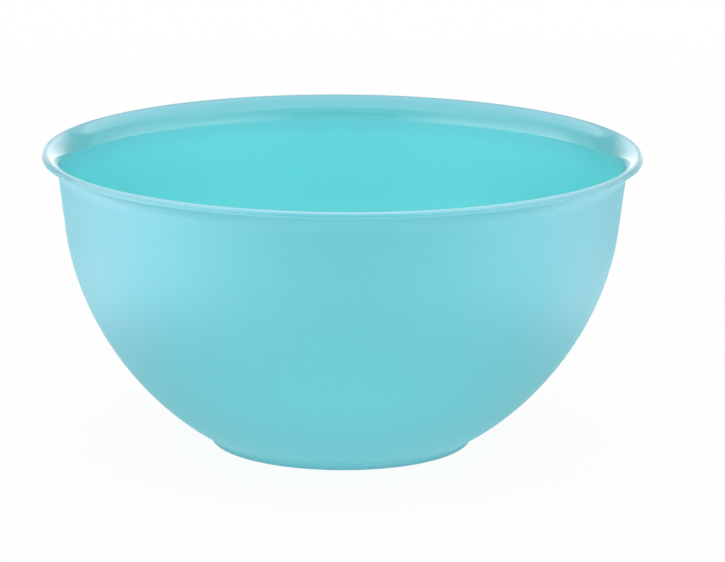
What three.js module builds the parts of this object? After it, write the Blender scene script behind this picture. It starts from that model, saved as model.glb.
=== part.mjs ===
// Salad bowl: a deep round serving bowl with a flared lip on a low foot ring, moulded in two layers.
// The satin outer shell makes the outside wall, the base and the foot ring. The glossy liner makes the
// floor, the inside wall and the top of the lip. The layers close on each other at the lip edge, where
// a fine seam runs all the way round.
// Millimetres, +Z up. The origin is the centre of the foot ring, on the table.
import * as THREE from "three";

// Overall sizes
const rimDiameter = 280; // across the lip edge
const bowlHeight = 138.5; // table to the top of the lip
const footDiameter = 123; // across the foot ring

// Layers, from the outside in
const shellWall = 0.9;
const seamGap = 0.3; // clearance between the layers, open to view along the lip edge
const linerWall = 2.1;

// Outside wall: one curve from the foot ring up to a straight band under the flare
const wallSlopeAtFoot = 28; // degrees above level
const footPull = 34.5; // how far the curve holds its slope as it leaves the foot
const bandPull = 45.4; // how far ahead of the band the curve turns upright
const bandLength = 25;
const draftAngle = 7; // degrees that the band leans outward

// Flared lip
const flareRadius = 9.4; // of the bend, on the outside
const lipSlope = 20; // degrees above level
const lipReach = 1.5; // straight lip past the bend
const lipTopRounding = 1.5;
const lipUnderRounding = 0.5;

// Foot ring, base and floor
const footHeight = 2.8; // table to where the wall leaves the foot ring
const footWidth = 4;
const footOuterRounding = 1.2;
const footInnerRounding = 0.8;
const baseRecess = 2; // hollow under the base, inside the foot ring
const floorBlend = 14; // length of wall that eases into the flat floor

// Facets
const turnSteps = 60;
const wallSteps = 11;
const flareSteps = 6;
const blendSteps = 4;
const roundingSteps = 4;

const { degToRad, lerp } = THREE.MathUtils;

// A profile is drawn as radius and height, and a heading is in degrees above level, pointing outward
const point = (radius, height) => new THREE.Vector2(radius, height);
const heading = (degrees) => point(Math.cos(degToRad(degrees)), Math.sin(degToRad(degrees)));
const leftOf = (direction) => point(-direction.y, direction.x);
const along = (start, direction, length) => start.clone().addScaledVector(direction, length);

const fullWall = shellWall + seamGap + linerWall;
const rimRadius = rimDiameter / 2;
const footRadius = footDiameter / 2;

// The lip edge is cut upright, so each layer's edge is longer than its wall is thick
const lipRise = Math.tan(degToRad(lipSlope));
const edgeStretch = 1 / Math.cos(degToRad(lipSlope));
const underTurn = 90 - lipSlope;
const topTurn = 90 + lipSlope;
const lipUnderFillet = filletFor(lipUnderRounding, underTurn, shellWall * edgeStretch);
const lipTopFillet = filletFor(lipTopRounding, topTurn, linerWall * edgeStretch);

// Height of the sharp lip corners, which puts the rounded top at the bowl's height
const topCornerHeight = bowlHeight + lipTopFillet * (lipRise + edgeStretch - 1);
const underCornerHeight = topCornerHeight - fullWall * edgeStretch;

// Places on the outside of the wall, from the lip down to the foot
const bandSlope = 90 - draftAngle;
const flareEnd = point(rimRadius - lipReach, underCornerHeight - lipReach * lipRise);
const flareCentre = along(flareEnd, leftOf(heading(lipSlope)), -flareRadius);
const bandTop = along(flareCentre, leftOf(heading(bandSlope)), flareRadius);
const bandStart = along(bandTop, heading(bandSlope), -bandLength);
const footCorner = point(footRadius, footHeight);
const wallCurve = new THREE.CubicBezierCurve(
  footCorner,
  along(footCorner, heading(wallSlopeAtFoot), footPull),
  along(bandStart, heading(bandSlope), -bandPull),
  bandStart,
);

// The largest rounding, up to the one asked for, that a corner's short edge has room for
function filletFor(rounding, turnDegrees, edgeLength) {
  return Math.min(rounding, edgeLength / Math.tan(degToRad(turnDegrees) / 2));
}

// Points on an arc that starts at one slope and ends at another. The centre is to the right of the
// path where the radius is positive, and to its left where it is negative.
function bend(centre, radius, slopeIn, slopeOut, steps) {
  const points = [];
  for (let step = 0; step <= steps; step += 1) {
    const direction = heading(lerp(slopeIn, slopeOut, step / steps));
    points.push(along(centre, leftOf(direction), radius));
  }
  return points;
}

// Points round an outer corner of a profile, which turns to the left there
function roundCorner(corner, slopeIn, slopeOut, rounding) {
  const tangentLength = rounding * Math.tan(degToRad(slopeOut - slopeIn) / 2);
  const start = along(corner, heading(slopeIn), -tangentLength);
  const centre = along(start, leftOf(heading(slopeIn)), rounding);
  return bend(centre, -rounding, slopeIn, slopeOut, roundingSteps);
}

// Points up the curved wall at a depth below the outside, from a length along it to the band
function wallAt(depth, startLength) {
  const points = [];
  const start = wallCurve.getUtoTmapping(0, startLength);
  for (let step = 0; step <= wallSteps; step += 1) {
    const place = lerp(start, 1, step / wallSteps);
    points.push(along(wallCurve.getPoint(place), leftOf(wallCurve.getTangent(place)), depth));
  }
  return points;
}

function flareAt(depth) {
  return bend(flareCentre, flareRadius + depth, bandSlope, lipSlope, flareSteps);
}

function lipEdgeAt(depth) {
  return point(rimRadius, underCornerHeight + depth * edgeStretch);
}

// A layer's surface at a depth below the outside, from the middle of the floor to the end of the flare
function layerAt(depth) {
  const wall = wallAt(depth, floorBlend);
  const wallStart = wall.shift();
  const slope = wallCurve.getTangent(wallCurve.getUtoTmapping(0, floorBlend));
  const floorHeight = baseRecess + depth;
  const corner = along(wallStart, slope, (floorHeight - wallStart.y) / slope.y);
  const floorEdge = point(corner.x - corner.distanceTo(wallStart), floorHeight);
  const blend = new THREE.QuadraticBezierCurve(floorEdge, corner, wallStart);
  return [point(0, floorHeight), ...blend.getPoints(blendSteps), ...wall, ...flareAt(depth)];
}

// A closed profile turned about the bowl's axis
function turned(name, profile, finish) {
  const solid = new THREE.LatheGeometry(profile, turnSteps);
  const mesh = new THREE.Mesh(solid, new THREE.MeshStandardMaterial(finish));
  mesh.name = name;
  return mesh;
}

// From the middle of the base, round the foot ring, up the outside, over the lip edge and back inside
function outerShell() {
  const footInside = footRadius - footWidth;
  const profile = [
    point(0, baseRecess),
    point(footInside, baseRecess),
    ...roundCorner(point(footInside, 0), -90, 0, footInnerRounding),
    ...roundCorner(point(footRadius, 0), 0, 90, footOuterRounding),
    ...wallAt(0, 0),
    ...flareAt(0),
    ...roundCorner(lipEdgeAt(0), lipSlope, lipSlope + underTurn, lipUnderFillet),
    lipEdgeAt(shellWall),
    ...layerAt(shellWall).reverse(),
  ];
  return turned("outer_shell", profile, { color: "#86d3df", roughness: 0.38, metalness: 0 });
}

// From the liner's underside out to the lip edge, over the rounded top and back down to the floor
function innerLiner() {
  const underside = shellWall + seamGap;
  const profile = [
    ...layerAt(underside),
    lipEdgeAt(underside),
    ...roundCorner(lipEdgeAt(fullWall), 90, 90 + topTurn, lipTopFillet),
    ...layerAt(fullWall).reverse(),
  ];
  return turned("inner_liner", profile, { color: "#5fcdd4", roughness: 0.12, metalness: 0 });
}

const saladBowl = new THREE.Group();
saladBowl.add(outerShell(), innerLiner());
saladBowl.rotation.x = Math.PI / 2; // profiles turn about Y, and the bowl stands along Z

export default saladBowl;
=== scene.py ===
import math
import bpy
import numpy as np
from mathutils import Matrix, Vector


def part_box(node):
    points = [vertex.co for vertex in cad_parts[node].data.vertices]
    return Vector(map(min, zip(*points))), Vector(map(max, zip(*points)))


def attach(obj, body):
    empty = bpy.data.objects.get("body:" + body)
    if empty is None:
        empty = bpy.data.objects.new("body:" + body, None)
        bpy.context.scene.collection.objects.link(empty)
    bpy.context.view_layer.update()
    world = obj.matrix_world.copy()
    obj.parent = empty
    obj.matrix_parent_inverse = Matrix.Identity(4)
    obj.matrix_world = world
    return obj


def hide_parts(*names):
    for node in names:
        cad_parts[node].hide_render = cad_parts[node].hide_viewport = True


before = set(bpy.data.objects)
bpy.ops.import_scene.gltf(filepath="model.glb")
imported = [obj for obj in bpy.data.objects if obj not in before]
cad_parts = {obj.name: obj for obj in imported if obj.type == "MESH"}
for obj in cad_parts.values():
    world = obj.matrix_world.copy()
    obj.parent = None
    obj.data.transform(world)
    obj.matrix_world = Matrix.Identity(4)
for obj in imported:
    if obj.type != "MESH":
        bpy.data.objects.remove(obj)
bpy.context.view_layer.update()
scene = bpy.context.scene
mm = 0.001


# form shared by both layers, in mm and degrees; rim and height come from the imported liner
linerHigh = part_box("inner_liner")[1]
form = {
    "rimRadius": linerHigh.x / mm,
    "height": linerHigh.z / mm,
    "footRadius": 61.5,
    "footHeight": 2.8,      # where the wall leaves the foot ring
    "slopeAtFoot": 28.0,    # wall above level at the foot
    "footPull": 34.5,       # how far the curve holds that slope
    "bandPull": 45.4,       # how far ahead of the band it turns upright
    "bandLength": 25.0,     # straight wall under the flare
    "draft": 7.0,           # lean of the band
    "flareRadius": 9.4,     # bend of the lip, on the outside
    "lipSlope": 20.0,
    "lipReach": 1.5,        # straight lip past the bend
    "baseRecess": 2.0,      # hollow under the base
    "floorBlend": 14.0,     # wall that eases into the flat floor
    "shellWall": 1.03,
    "seamGap": 0.04,        # bonded layers: only a fine groove shows at the lip
    "linerWall": 2.23,
    "lipTopRounding": 1.5,
    "turns": 256,           # facets round the bowl
    "curveSamples": 2000,   # points on the wall's curve, from which its steps are picked
    "hiddenSteps": (40, 16, 8),  # wall, flare and floor steps of the faces between the layers
}
form["fullWall"] = form["shellWall"] + form["seamGap"] + form["linerWall"]


# unit vectors in the radius-height plane, from slopes in degrees
def heading(slopes):
    a = np.radians(np.atleast_1d(np.asarray(slopes, float)))
    return np.stack([np.cos(a), np.sin(a)], axis=-1)


# vectors turned a quarter to the left
def leftOf(v):
    return np.stack([-v[..., 1], v[..., 0]], axis=-1)


# arc: centre plus radius times the normal of a heading that turns from one slope to another
def bend(centre, radius, slopeIn, slopeOut, steps):
    return centre + radius * leftOf(heading(np.linspace(slopeIn, slopeOut, steps)))


# fillet of an outer corner, where the path turns left
def roundCorner(corner, slopeIn, slopeOut, rounding, steps=8):
    reach = rounding * math.tan(math.radians(slopeOut - slopeIn) / 2)
    start = np.asarray(corner) - reach * heading(slopeIn)
    return bend(start + rounding * leftOf(heading(slopeIn)), -rounding, slopeIn, slopeOut, steps)


# straight stretch, ends left out
def between(a, b, steps):
    share = np.linspace(0, 1, steps + 2)[1:-1, None]
    return np.asarray(a) + share * (np.asarray(b) - np.asarray(a))


# lip corners, flare and band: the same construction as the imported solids
lipRise = math.tan(math.radians(form["lipSlope"]))
edgeStretch = 1 / math.cos(math.radians(form["lipSlope"]))
topCorner = form["height"] + form["lipTopRounding"] * (lipRise + edgeStretch - 1)
underCorner = topCorner - form["fullWall"] * edgeStretch
bandSlope = 90 - form["draft"]
flareEnd = np.array([form["rimRadius"] - form["lipReach"], underCorner - form["lipReach"] * lipRise])
flareCentre = flareEnd - form["flareRadius"] * leftOf(heading(form["lipSlope"]))[0]
bandTop = flareCentre + form["flareRadius"] * leftOf(heading(bandSlope))[0]
bandStart = bandTop - form["bandLength"] * heading(bandSlope)[0]
footCorner = np.array([form["footRadius"], form["footHeight"]])
wallPull = [
    footCorner,
    footCorner + form["footPull"] * heading(form["slopeAtFoot"])[0],
    bandStart - form["bandPull"] * heading(bandSlope)[0],
    bandStart,
]


# cubic curve through the wall's four pull points, moved inward along its normal by the depth
def wallAt(depth, startLength, steps):
    t = np.linspace(0, 1, form["curveSamples"])[:, None]
    p0, p1, p2, p3 = wallPull
    place = (1 - t) ** 3 * p0 + 3 * (1 - t) ** 2 * t * p1 + 3 * (1 - t) * t ** 2 * p2 + t ** 3 * p3
    slope = (1 - t) ** 2 * (p1 - p0) + 2 * (1 - t) * t * (p2 - p1) + t ** 2 * (p3 - p2)
    slope /= np.linalg.norm(slope, axis=1, keepdims=True)
    run = np.concatenate([[0], np.cumsum(np.linalg.norm(np.diff(place, axis=0), axis=1))])
    stops = np.linspace(startLength, run[-1], steps)
    skin = place + depth * leftOf(slope)

    def pick(rows):
        return np.stack([np.interp(stops, run, rows[:, k]) for k in (0, 1)], axis=-1)

    return pick(skin), pick(slope)


# flare: one arc from the band's slope to the lip's, its radius grown by the depth
def flareAt(depth, steps):
    return bend(flareCentre, form["flareRadius"] + depth, bandSlope, form["lipSlope"], steps)


# corner of the lip edge: on the rim's radius, as far up as the depth reaches across the sloping lip
def lipEdgeAt(depth):
    return np.array([form["rimRadius"], underCorner + depth * edgeStretch])


# one face of a layer, from the floor's middle to the end of the flare:
# flat floor, quadratic blend, wall, straight band and flare
def layerAt(depth, wallSteps, flareSteps, blendSteps):
    wall, slope = wallAt(depth, form["floorBlend"], wallSteps)
    floorZ = form["baseRecess"] + depth
    corner = wall[0] + slope[0] * (floorZ - wall[0][1]) / slope[0][1]
    edge = np.array([corner[0] - np.linalg.norm(corner - wall[0]), floorZ])
    t = np.linspace(0, 1, blendSteps)[:-1, None]
    blend = (1 - t) ** 2 * edge + 2 * (1 - t) * t * corner + t ** 2 * wall[0]
    floor = between([0, floorZ], edge, blendSteps)
    flare = flareAt(depth, flareSteps)
    band = between(wall[-1], flare[0], flareSteps // 2)
    return np.vstack([[[0, floorZ]], floor, blend, wall, band, flare])


# profile turned about Z: x = r cos(a), y = r sin(a), z = height; its two ends are points on the axis
def turned(name, profile):
    rings = profile[1:-1] * mm
    a = np.arange(form["turns"]) * 2 * np.pi / form["turns"]
    r, z = rings[:, :1], rings[:, 1:]
    body = np.stack([r * np.cos(a), r * np.sin(a), z + 0 * a], axis=-1).reshape(-1, 3)
    ends = np.array([[0, 0, profile[0, 1]], [0, 0, profile[-1, 1]]]) * mm
    n, m = len(rings), form["turns"]
    here = np.arange(n * m).reshape(n, m)
    side = np.roll(here, -1, axis=1)
    quads = np.stack([here[:-1], side[:-1], side[1:], here[1:]], axis=-1).reshape(-1, 4)
    low = np.stack([np.full(m, n * m), side[0], here[0]], axis=-1)
    high = np.stack([np.full(m, n * m + 1), here[-1], side[-1]], axis=-1)
    mesh = bpy.data.meshes.new(name)
    mesh.from_pydata(np.vstack([body, ends]).tolist(), [], quads.tolist() + low.tolist() + high.tolist())
    mesh.polygons.foreach_set("use_smooth", np.ones(len(mesh.polygons), bool))
    mesh.update()
    piece = bpy.data.objects.new(name, mesh)
    scene.collection.objects.link(piece)
    return piece


# sRGB hex to linear colour
def linear(hexText):
    c = np.array([int(hexText[i:i + 2], 16) for i in (1, 3, 5)]) / 255
    return (*np.where(c <= 0.04045, c / 12.92, ((c + 0.055) / 1.055) ** 2.4).tolist(), 1.0)


# adds a node; settings are properties, inputs are values or sockets to link from, named or numbered as in0
def add(tree, kind, settings=None, **inputs):
    node = tree.nodes.new(kind)
    for key, value in (settings or {}).items():
        setattr(node, key, value)
    for key, value in inputs.items():
        numbered = key.startswith("in") and key[2:].isdigit()
        socket = node.inputs[int(key[2:]) if numbered else key.replace("_", " ")]
        if isinstance(value, bpy.types.NodeSocket):
            tree.links.new(value, socket)
        else:
            socket.default_value = value
    return node


smooth = {"interpolation_type": "SMOOTHSTEP"}  # a range eased at both ends
noiseSpan = (0.25, 0.75)    # where most values of a noise pattern lie
plasticIor = 1.5            # polypropylene


def newMaterial(name):
    material = bpy.data.materials.new(name)
    material.use_nodes = True
    material.node_tree.nodes.clear()
    return material, material.node_tree


# distance from the bowl's axis
def radiusOf(tree, where):
    flat = add(tree, "ShaderNodeVectorMath", {"operation": "MULTIPLY"}, in0=where, in1=(1, 1, 0))
    return add(tree, "ShaderNodeVectorMath", {"operation": "LENGTH"}, in0=flat.outputs[0]).outputs["Value"]


# colour that changes with height: tones are (height in mm, sRGB hex), eased from one to the next
def tonesByHeight(tree, where, tones):
    height = add(tree, "ShaderNodeSeparateXYZ", Vector=where).outputs["Z"]
    share = add(tree, "ShaderNodeMath", {"operation": "DIVIDE"}, in0=height, in1=form["height"] * mm)
    ramp = add(tree, "ShaderNodeValToRGB", Fac=share.outputs[0])
    ramp.color_ramp.interpolation = "EASE"
    stops = ramp.color_ramp.elements
    while len(stops) < len(tones):
        stops.new(1.0)
    for stop, (z, tone) in zip(stops, tones):
        stop.position = z / form["height"]
        stop.color = linear(tone)
    return ramp.outputs["Color"]


# outer shell
shellSize = {
    "footWidth": 4.0,
    "footOuter": 1.5,       # roundings of the foot ring, outside and inside
    "footInner": 0.8,
    "footFillet": 2.0,      # hollow corner between the foot ring and the wall
    "lipUnder": 0.5,        # roundings of the lip edge, below and at the seam
    "seamEdge": 0.12,
    "wallSteps": 150,
    "flareSteps": 40,
}
shellLook = {
    "tones": [              # colour by height, with painted shade and light: a dark foot edge, a pale band above it, a darker lower wall and a pale neck
        # painted contact shadow: the foot's bottom edge darker; painted light: the band above it paler
        # against the shade of the hollow corner
        (0.8, "#47a7b1"),
        (1.7, "#53b4be"),
        (2.9, "#5abcc6"),
        # painted shade: the lower wall darker than the wall above
        (5.0, "#53bac4"),
        (12.0, "#4fbac4"),
        (50.0, "#53c5cf"),
        (126.0, "#53c5cf"),
        # painted light: the neck under the lip paler, where the lip shades it
        (130.5, "#5fcdd7"),
        (133.5, "#66d1db"),
    ],
    "lip": "#62cdd8",       # lip edge, paler as a painted sheen
    "lipFrom": 138.0,       # radii over which the neck turns to the lip's tone
    "lipTo": 139.4,
    "roughness": (0.58, 0.6),  # of the best and the least polished clouds
    "polishSpan": (0.3, 0.7),  # noise values that give them
    "specular": 1.0,
    "grainMm": 0.8,         # a moulded grain is finer; drawn this coarse so that it shows
    "grainDetail": 2.0,
    "grainDepth": 0.14,     # strength of the relief, and its height
    "reliefMm": 0.1,
    "grainTone": 0.05,      # share by which the colour varies with the grain
    "mottleMm": 7.0,        # clouds of slightly uneven pigment and polish
    "mottleDetail": 3.0,
    "mottleTone": 0.01,     # the same for the clouds
}


# polypropylene from a grained mould: a soft, broad sheen that shows no mirror image, a fine grain
# and a colour that is even but for faint clouds; painted shade darkens the foot's edge and the lower wall,
# and painted light makes the band above the foot, the neck and the lip paler
def satinPlastic():
    material, tree = newMaterial("satin moulded polypropylene")
    where = add(tree, "ShaderNodeTexCoord").outputs["Object"]
    lip = add(tree, "ShaderNodeMapRange", smooth, Value=radiusOf(tree, where),
              From_Min=shellLook["lipFrom"] * mm, From_Max=shellLook["lipTo"] * mm).outputs["Result"]
    colour = add(tree, "ShaderNodeMix", {"data_type": "RGBA"}, in0=lip,
                 in6=tonesByHeight(tree, where, shellLook["tones"]),
                 in7=linear(shellLook["lip"])).outputs[2]
    grain, mottle = [add(tree, "ShaderNodeTexNoise", Vector=where, Scale=1 / (shellLook[kind + "Mm"] * mm),
                         Detail=shellLook[kind + "Detail"]) for kind in ("grain", "mottle")]
    for noise, share in ((grain, shellLook["grainTone"]), (mottle, shellLook["mottleTone"])):
        level = add(tree, "ShaderNodeMapRange", Value=noise.outputs["Fac"],
                    From_Min=noiseSpan[0], From_Max=noiseSpan[1], To_Min=1 - share, To_Max=1 + share)
        colour = add(tree, "ShaderNodeVectorMath", {"operation": "SCALE"},
                     in0=colour, Scale=level.outputs["Result"]).outputs[0]
    polish = add(tree, "ShaderNodeMapRange", Value=mottle.outputs["Fac"],
                 From_Min=shellLook["polishSpan"][0], From_Max=shellLook["polishSpan"][1],
                 To_Min=shellLook["roughness"][0], To_Max=shellLook["roughness"][1]).outputs["Result"]
    bump = add(tree, "ShaderNodeBump", Height=grain.outputs["Fac"],
               Strength=shellLook["grainDepth"], Distance=shellLook["reliefMm"] * mm)
    plastic = add(
        tree, "ShaderNodeBsdfPrincipled", Base_Color=colour, Roughness=polish,
        IOR=plasticIor, Specular_IOR_Level=shellLook["specular"], Normal=bump.outputs["Normal"],
    )
    add(tree, "ShaderNodeOutputMaterial", Surface=plastic.outputs["BSDF"])
    return material


# from the middle of the base round the foot ring, up the outside and over the lip edge,
# then back down between the layers
def outerShell():
    size = shellSize
    inner = form["footRadius"] - size["footWidth"]
    reach = size["footFillet"] * math.tan(math.radians(90 - form["slopeAtFoot"]) / 2)
    filletCentre = footCorner + np.array([size["footFillet"], -reach])
    wall = wallAt(0, reach, size["wallSteps"])[0]
    flare = flareAt(0, size["flareSteps"])
    profile = np.vstack([
        [[0, form["baseRecess"]]],
        between([0, form["baseRecess"]], [inner, form["baseRecess"]], steps=8),
        [[inner, form["baseRecess"]]],
        roundCorner([inner, 0], -90, 0, size["footInner"]),
        roundCorner([form["footRadius"], 0], 0, 90, size["footOuter"], steps=12),
        bend(filletCentre, size["footFillet"], 90, form["slopeAtFoot"], steps=8),
        wall[1:],
        between(wall[-1], flare[0], steps=12),
        flare,
        roundCorner(lipEdgeAt(0), form["lipSlope"], 90, size["lipUnder"]),
        roundCorner(lipEdgeAt(form["shellWall"]), 90, 180 + form["lipSlope"], size["seamEdge"], steps=5),
        layerAt(form["shellWall"], *form["hiddenSteps"])[::-1],
    ])
    piece = turned("bowl_outer_shell", profile)
    piece.data.materials.append(satinPlastic())
    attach(piece, "root")
    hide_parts("outer_shell")


# inner liner
linerSize = {"seamEdge": 0.12, "insideSteps": (130, 60, 24)}
linerLook = {
    "tones": [              # colour by height, with painted light and shade: inside, start of the flare, rim and its crest
        # painted light: the inside paler than the flare and rim, which are painted darker
        (92.0, "#6ee3e6"),
        (107.0, "#72e4e8"),
        (119.0, "#71e4e7"),
        # painted shade where the flare starts, then a paler line there as a painted highlight
        (127.0, "#6fdae0"),
        (127.9, "#77dbe1"),
        (131.0, "#66ced5"),
        (137.9, "#5cc3d0"),
        # painted shade: the crest's inner edge darker
        (138.35, "#48a0ad"),
    ],
    "lipTones": [(137.0, "#6ad8e4"), (138.3, "#96dceb")],  # rounded lip edge, paler towards its top as a painted highlight
    "lipFrom": 138.4,       # radii over which the crest turns to the lip's tones
    "lipTo": 139.0,
    "satin": 0.45,          # roughness inside the bowl, on the flare and on the crest
    "gloss": 0.08,
    "glossFrom": 127.0,     # heights over which the finish turns glossy
    "glossTo": 128.4,
    "crest": 0.3,
    "crestFrom": 138.1,     # heights over which the crest is rubbed dull
    "crestTo": 138.4,
    "specular": 0.65,
    "mottleMm": 6.0,        # clouds of slightly uneven pigment and polish
    "mottleDetail": 3.0,
    "mottleTone": 0.012,    # shares by which colour and roughness vary with the clouds
    "mottlePolish": 0.15,
}


# polypropylene from a polished mould: a clear, even colour inside, where it is only satin,
# pale mirror images of the tent on the flare, and a dull line along the rubbed crest; painted light makes
# the inside and the lip's rounded edge paler, and painted shade darkens the start of the flare, the rim and
# the crest
def glossPlastic():
    material, tree = newMaterial("gloss moulded polypropylene")
    where = add(tree, "ShaderNodeTexCoord").outputs["Object"]
    height = add(tree, "ShaderNodeSeparateXYZ", Vector=where).outputs["Z"]
    lip = add(tree, "ShaderNodeMapRange", smooth, Value=radiusOf(tree, where),
              From_Min=linerLook["lipFrom"] * mm, From_Max=linerLook["lipTo"] * mm).outputs["Result"]
    colour = add(tree, "ShaderNodeMix", {"data_type": "RGBA"}, in0=lip,
                 in6=tonesByHeight(tree, where, linerLook["tones"]),
                 in7=tonesByHeight(tree, where, linerLook["lipTones"])).outputs[2]
    mottle = add(tree, "ShaderNodeTexNoise", Vector=where, Scale=1 / (linerLook["mottleMm"] * mm),
                 Detail=linerLook["mottleDetail"])
    level, sheen = [add(tree, "ShaderNodeMapRange", Value=mottle.outputs["Fac"], From_Min=noiseSpan[0],
                        From_Max=noiseSpan[1], To_Min=1 - share, To_Max=1 + share).outputs["Result"]
                    for share in (linerLook["mottleTone"], linerLook["mottlePolish"])]
    colour = add(tree, "ShaderNodeVectorMath", {"operation": "SCALE"}, in0=colour, Scale=level).outputs[0]
    polish = add(tree, "ShaderNodeMapRange", smooth, Value=height,
                 From_Min=linerLook["glossFrom"] * mm, From_Max=linerLook["glossTo"] * mm,
                 To_Min=linerLook["satin"], To_Max=linerLook["gloss"]).outputs["Result"]
    polish = add(tree, "ShaderNodeMapRange", Value=height,
                 From_Min=linerLook["crestFrom"] * mm, From_Max=linerLook["crestTo"] * mm,
                 To_Min=polish, To_Max=linerLook["crest"]).outputs["Result"]
    polish = add(tree, "ShaderNodeMath", {"operation": "MULTIPLY"}, in0=polish, in1=sheen).outputs[0]
    plastic = add(tree, "ShaderNodeBsdfPrincipled", Base_Color=colour,
                  Roughness=polish, IOR=plasticIor, Specular_IOR_Level=linerLook["specular"])
    add(tree, "ShaderNodeOutputMaterial", Surface=plastic.outputs["BSDF"])
    return material


# from the middle of the floor up between the layers, round the top of the lip and down the inside
def innerLiner():
    under = form["shellWall"] + form["seamGap"]
    profile = np.vstack([
        layerAt(under, *form["hiddenSteps"]),
        roundCorner(lipEdgeAt(under), form["lipSlope"], 90, linerSize["seamEdge"], steps=5),
        roundCorner(lipEdgeAt(form["fullWall"]), 90, 180 + form["lipSlope"],
                    form["lipTopRounding"], steps=14),
        layerAt(form["fullWall"], *linerSize["insideSteps"])[::-1],
    ])
    piece = turned("bowl_inner_liner", profile)
    piece.data.materials.append(glossPlastic())
    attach(piece, "root")
    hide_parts("inner_liner")


# camera at the photograph's viewing angle
lens = {
    "place": (0.0, -2.17239, 0.57694),  # in metres
    "down": 12.9926,        # degrees that it looks down, to the right and leans
    "right": 0.25709,
    "roll": 0.36821,
    "focalPixels": 4746.44,  # focal length in pixels of a picture this wide
    "imageWidth": 725,
    "sensorWidth": 36.0,
}


def makeCamera():
    data = bpy.data.cameras.new("camera")
    data.sensor_width = lens["sensorWidth"]
    data.lens = lens["focalPixels"] / lens["imageWidth"] * lens["sensorWidth"]
    camera = bpy.data.objects.new("camera", data)
    turn = Matrix.Rotation(-math.radians(lens["right"]), 4, "Z")
    tilt = Matrix.Rotation(math.radians(90 - lens["down"]), 4, "X")
    roll = Matrix.Rotation(math.radians(lens["roll"]), 4, "Z")
    camera.matrix_world = Matrix.Translation(lens["place"]) @ turn @ tilt @ roll
    scene.collection.objects.link(camera)
    scene.camera = camera


# studio: a white tent gives the even light, and panels that show only in the gloss give the highlights
# a panel marked lightsBody lights the body and doesn't show in the gloss
# dark cards show only in the gloss too; one marked dimsBody takes light from the body instead
# lengths are in metres; angles are in degrees, seen from the rim's middle
# bearing 0 is towards the camera, plus is to the right
# glow is brightness, with 1 as white; fades are the shares of a panel over which it dims to its edges:
# upright ones right, left, bottom and top, as seen from the bowl, and flat ones left, right, front and back
rimCentre = Vector((0, 0, linerHigh.z))
tent = {
    "light": 0.93,          # brightness of the even light
    "warm": "#ffe2f2",      # tints of the panels
    "cool": "#fff4fa",
    "offFloor": 0.02,       # upright panels end this far above the floor
}
panels = {
    "left_panel": {"tint": "cool", "bearing": -74, "half": 50, "low": -5, "top": 54, "distance": 1.4,
                   "glow": 2.1, "fades": (0.26, 0.36, 0.02, 1.0)},
    "right_panel": {"tint": "cool", "bearing": 76, "half": 54, "low": -5, "top": 52, "distance": 1.4,
                    "glow": 1.62, "fades": (0.38, 0.42, 0.02, 1.0)},
    "front_fill": {"tint": "cool", "bearing": 0, "half": 24, "low": 6, "top": 28.5, "distance": 4.5,
                   "glow": 1.75, "fades": (0.1, 0.1, 0.1, 0.1), "lightsBody": True},
    "back_panel": {"tint": "cool", "bearing": 180, "half": 28, "low": -2, "top": 26, "distance": 2.2,
                   "glow": 1.4, "fades": (0.5, 0.5, 0.05, 0.3)},
}
flatPanels = {
    "overhead_panel": {"tint": "cool", "x": (-1.62, 1.72), "y": (-0.74, 2.45), "z": 1.44,
                       "glow": 0.87, "fades": (0.12, 0.12, 0.03, 0.1)},
    "overhead_middle": {"tint": "cool", "x": (-1.2, 1.2), "y": (-0.74, 1.5), "z": 1.43,
                        "glow": 0.42, "fades": (0.2, 0.2, 0.03, 0.3)},
    "left_floor_card": {"tint": "warm", "x": (-1.0, -0.16), "y": (-0.85, 0.2), "z": 0.004,
                        "glow": 5.5, "fades": (0.2, 0.12, 0.2, 0.2)},
    "left_far_card": {"tint": "cool", "x": (-1.5, -0.5), "y": (-0.6, 0.8), "z": 0.004,
                      "glow": 4.3, "fades": (0.05, 0.3, 0.2, 0.2)},
    "right_far_card": {"tint": "cool", "x": (0.5, 1.5), "y": (-0.6, 0.8), "z": 0.004,
                       "glow": 2.2, "fades": (0.3, 0.05, 0.2, 0.2)},
    "right_floor_card": {"tint": "warm", "x": (0.155, 1.0), "y": (-0.85, 0.23), "z": 0.004,
                         "glow": 4.2, "fades": (0.12, 0.2, 0.2, 0.2)},
}
darkCards = {
    "camera_side": {"bearing": -1.5, "half": 23.5, "low": 0, "top": 40, "distance": 1.1,
                    "shade": "#c0c0c0"},
    "left_gap": {"bearing": -157, "half": 23.5, "low": 4, "top": 25, "distance": 2.7,
                 "shade": "#d4d4d4"},
    "left_flag": {"bearing": -80, "half": 35, "low": -8, "top": 16, "distance": 0.9,
                  "shade": "#606060", "dimsBody": True},
    "right_flag": {"bearing": 80, "half": 35, "low": -8, "top": 16, "distance": 0.9,
                   "shade": "#606060", "dimsBody": True},
    "right_gap": {"bearing": 157, "half": 23.5, "low": 4, "top": 25, "distance": 2.7,
                  "shade": "#d4d4d4"},
}


# an upright rectangle facing the bowl: its matrix, width and height
def upright(spec):
    a = math.radians(spec["bearing"])
    outward = Vector((math.sin(a), -math.cos(a), 0))
    low = max(spec["distance"] * math.tan(math.radians(spec["low"])), tent["offFloor"] - rimCentre.z)
    top = spec["distance"] * math.tan(math.radians(spec["top"]))
    width = 2 * spec["distance"] * math.tan(math.radians(spec["half"]))
    place = rimCentre + outward * spec["distance"] + Vector((0, 0, (low + top) / 2))
    facing = outward.to_track_quat("Z", "Y").to_matrix().to_4x4()
    return Matrix.Translation(place) @ facing, width, top - low


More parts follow.
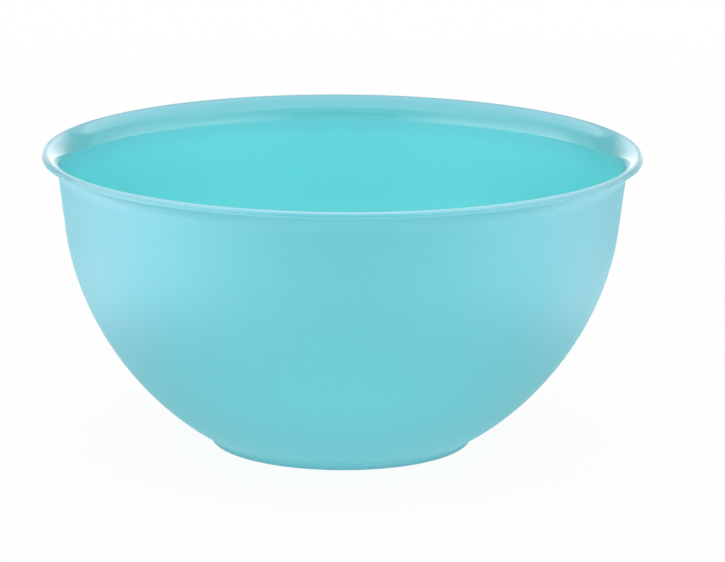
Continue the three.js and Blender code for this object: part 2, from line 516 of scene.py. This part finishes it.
def addPanel(name, matrix, width, height, spec):
    data = bpy.data.lights.new(name, "AREA")
    data.shape = "RECTANGLE"
    data.size = width
    data.size_y = height
    data.energy = math.pi * width * height  # gives the panel a brightness of 1
    data.use_nodes = True
    tree = data.node_tree
    tree.nodes.clear()
    across = add(tree, "ShaderNodeNewGeometry").outputs["Parametric"]
    place = add(tree, "ShaderNodeSeparateXYZ", Vector=across)
    level = spec["glow"]
    fades = spec["fades"]
    for axis, low, high in (("X", fades[0], fades[1]), ("Y", fades[2], fades[3])):
        for edge, reach in ((0, low), (1, 1 - high)):
            ease = add(tree, "ShaderNodeMapRange", smooth, Value=place.outputs[axis],
                       From_Min=edge, From_Max=reach).outputs["Result"]
            level = add(tree, "ShaderNodeMath", {"operation": "MULTIPLY"}, in0=ease, in1=level).outputs[0]
    glowing = add(tree, "ShaderNodeEmission", Color=linear(tent[spec["tint"]]), Strength=level)
    add(tree, "ShaderNodeOutputLight", Surface=glowing.outputs["Emission"])
    lamp = bpy.data.objects.new(name, data)
    lamp.matrix_world = matrix
    lamp.visible_camera = False
    lamp.visible_diffuse = spec.get("lightsBody", False)
    lamp.visible_glossy = not lamp.visible_diffuse
    scene.collection.objects.link(lamp)


# grey cards where a studio is darker than its tent
def addDarkCard(name, matrix, width, height, spec):
    w, h = width / 2, height / 2
    corners = [matrix @ Vector(c) for c in ((-w, -h, 0), (w, -h, 0), (w, h, 0), (-w, h, 0))]
    mesh = bpy.data.meshes.new(name)
    mesh.from_pydata(corners, [], [(0, 1, 2, 3)])
    card = bpy.data.objects.new(name, mesh)
    material, tree = newMaterial(name + " card")
    cloth = add(tree, "ShaderNodeBsdfDiffuse", Color=linear(spec["shade"]))
    add(tree, "ShaderNodeOutputMaterial", Surface=cloth.outputs["BSDF"])
    mesh.materials.append(material)
    card.visible_camera = False
    card.visible_diffuse = spec.get("dimsBody", False)
    card.visible_glossy = not card.visible_diffuse
    card.visible_shadow = False
    scene.collection.objects.link(card)


def makePanels():
    for name, spec in panels.items():
        addPanel(name, *upright(spec), spec)
    for name, spec in flatPanels.items():
        (x0, x1), (y0, y1) = spec["x"], spec["y"]
        facing = Matrix.Rotation(math.pi if spec["z"] < rimCentre.z else 0, 4, "X")  # floor cards face up
        place = Matrix.Translation(((x0 + x1) / 2, (y0 + y1) / 2, spec["z"]))
        addPanel(name, place @ facing, x1 - x0, y1 - y0, spec)
    for name, spec in darkCards.items():
        addDarkCard(name, *upright(spec), spec)


# white to the camera and in the gloss; the tent's even light to everything else
def makeWorld():
    world = bpy.data.worlds.new("white tent")
    scene.world = world
    world.use_nodes = True
    tree = world.node_tree
    tree.nodes.clear()
    path = add(tree, "ShaderNodeLightPath").outputs
    seen = add(tree, "ShaderNodeMath", {"operation": "MAXIMUM"},
               in0=path["Is Camera Ray"], in1=path["Is Glossy Ray"]).outputs[0]
    level = add(tree, "ShaderNodeMapRange", Value=seen, To_Min=tent["light"], To_Max=1.0)
    white = add(tree, "ShaderNodeBackground", Color=(1, 1, 1, 1), Strength=level.outputs["Result"])
    add(tree, "ShaderNodeOutputWorld", Surface=white.outputs["Background"])


floorLook = {
    "colour": "#fafafa",
    "halfSize": 8.0,
    "bodyGlow": 0.74,       # share of the paper that glows evenly for the body's light
    "seenGlow": 0.925,      # the same for what is seen; the rest keeps the bowl's shadow
    "shadowTo": 400.0,      # radii, in mm, over which the paper turns pure white
    "whiteFrom": 1500.0,
    "darkTo": 62.0,         # radii, in mm, over which the gloss sees the paper clear up from the foot, darker near it as a painted shadow
    "clearFrom": 120.0,
    "frontTo": 60.0,        # distances to the side, in mm, over which the body's light dims
    "sideFrom": 260.0,
    "frontLevel": 1.2,      # that light at the front and at the sides
    "sideLevel": 0.2,
}


# matt white paper: plain white, with a faint shadow round the foot; to the bowl it glows as painted light,
# brighter in front and dim at the sides
def makeFloor():
    s = floorLook["halfSize"]
    mesh = bpy.data.meshes.new("floor")
    mesh.from_pydata([(-s, -s, 0), (s, -s, 0), (s, s, 0), (-s, s, 0)], [], [(0, 1, 2, 3)])
    floor = bpy.data.objects.new("floor", mesh)
    scene.collection.objects.link(floor)
    material, tree = newMaterial("white paper sweep")
    path = add(tree, "ShaderNodeLightPath").outputs
    where = add(tree, "ShaderNodeTexCoord").outputs["Object"]
    radius = radiusOf(tree, where)
    clear = add(tree, "ShaderNodeMapRange", smooth, Value=radius,
                From_Min=floorLook["darkTo"] * mm, From_Max=floorLook["clearFrom"] * mm).outputs["Result"]
    seen = add(tree, "ShaderNodeMath", {"operation": "MULTIPLY"},
               in0=path["Is Glossy Ray"], in1=clear).outputs[0]
    seen = add(tree, "ShaderNodeMath", {"operation": "MAXIMUM"},
               in0=seen, in1=path["Is Camera Ray"]).outputs[0]
    across = add(tree, "ShaderNodeMath", {"operation": "ABSOLUTE"},
                 in0=add(tree, "ShaderNodeSeparateXYZ", Vector=where).outputs["X"]).outputs[0]
    bounce = add(tree, "ShaderNodeMapRange", smooth, Value=across,
                 From_Min=floorLook["frontTo"] * mm, From_Max=floorLook["sideFrom"] * mm,
                 To_Min=floorLook["frontLevel"], To_Max=floorLook["sideLevel"]).outputs["Result"]
    level = add(tree, "ShaderNodeMapRange", Value=seen, To_Min=bounce, To_Max=1.0).outputs["Result"]
    white = add(tree, "ShaderNodeMapRange", smooth, Value=radius,
                From_Min=floorLook["shadowTo"] * mm, From_Max=floorLook["whiteFrom"] * mm,
                To_Min=floorLook["seenGlow"], To_Max=1.0).outputs["Result"]
    share = add(tree, "ShaderNodeMapRange", Value=seen,
                To_Min=floorLook["bodyGlow"], To_Max=white).outputs["Result"]
    paper = add(tree, "ShaderNodeBsdfDiffuse", Color=linear(floorLook["colour"]))
    glow = add(tree, "ShaderNodeEmission", Color=(1, 1, 1, 1), Strength=level)
    mix = add(tree, "ShaderNodeMixShader", in0=share,
              in1=paper.outputs["BSDF"], in2=glow.outputs["Emission"])
    add(tree, "ShaderNodeOutputMaterial", Surface=mix.outputs["Shader"])
    mesh.materials.append(material)


makeCamera()
print("camera set")
outerShell()
innerLiner()
print("bowl layers turned")
makeFloor()
makeWorld()
makePanels()
print("studio lit")
scene.view_settings.view_transform = "Standard"
